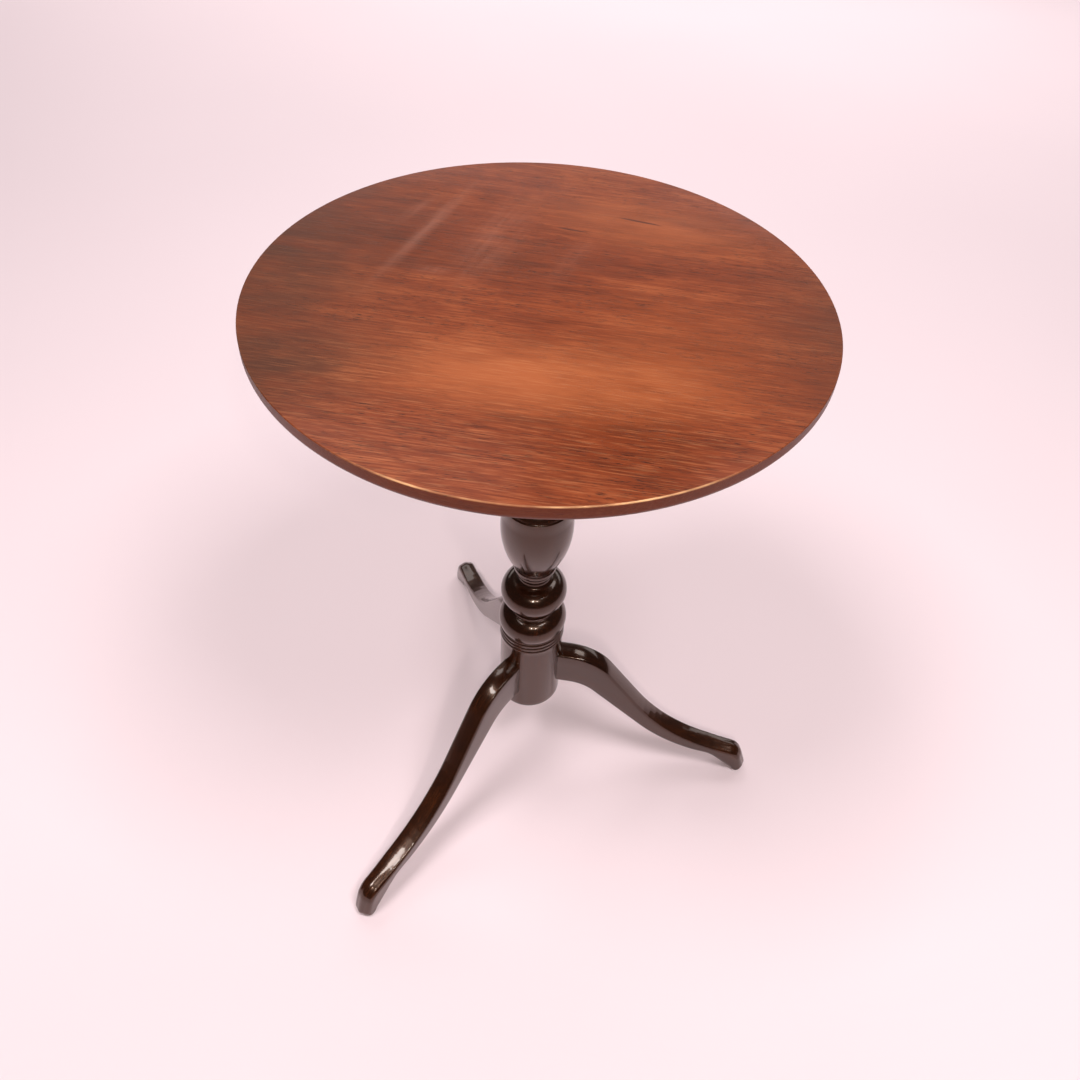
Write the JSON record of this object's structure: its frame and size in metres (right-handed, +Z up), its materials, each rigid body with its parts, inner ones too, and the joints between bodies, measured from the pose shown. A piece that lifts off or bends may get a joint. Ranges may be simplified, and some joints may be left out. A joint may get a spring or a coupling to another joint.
{
  "type": "tilt top table",
  "caption": "Round tilt top table: thin polished board on bearers that swings upright over a turned vase column with three cabriole legs, locked by a brass slide bolt.",
  "frame": {"origin": "on the floor under the axis of the column, the centre of the circle that the three toes stand on", "axes": "+Z up along the column; +X along the board's grain, the pintle axis and the right leg; -Y is the front, over which the board hangs when it is tilted up"},
  "size_m": [0.5542, 0.517, 0.71],
  "materials": {
    "board": "satin french polish over mahogany, grain across the width",
    "under_wood": "plain planed and stained mahogany, unpolished",
    "dark_wood": "very dark red-brown polish, near black, glossy",
    "brass": "old lacquered brass, dulled",
    "steel": "bright turned steel, greased",
    "iron": "blackened iron"
  },
  "bodies": {
    "base": {"column": "dark_wood", "leg_right": "dark_wood", "leg_rear": "dark_wood", "leg_left": "dark_wood", "spider_plate": "iron", "spider_screws": "iron", "tilt_block": "under_wood", "tenon_wedge": "under_wood", "keeper_plate": "brass", "keeper_screws": "brass", "pintle_left": "steel", "pintle_right": "steel"},
    "board": {"top_board": "board", "bearer_left": "under_wood", "bearer_right": "under_wood", "bearer_screws_left": "iron", "bearer_screws_right": "iron", "bolt_plate": "brass", "bolt_screws": "brass", "bolt_case": "brass", "bolt_spring": "brass"},
    "bolt": {"slide_bolt": "brass", "bolt_knob": "brass"}
  },
  "joints": [
    {"name": "board_tilt", "type": "hinge", "parent": "base", "child": "board", "pos_m": [0, -0.04, 0.678], "axis": [1, 0, 0], "range_deg": [0, 90]},
    {"name": "bolt_slide", "type": "slide", "parent": "board", "child": "bolt", "axis": [0, -1, 0], "range_m": [0, 0.009]}
  ]
}
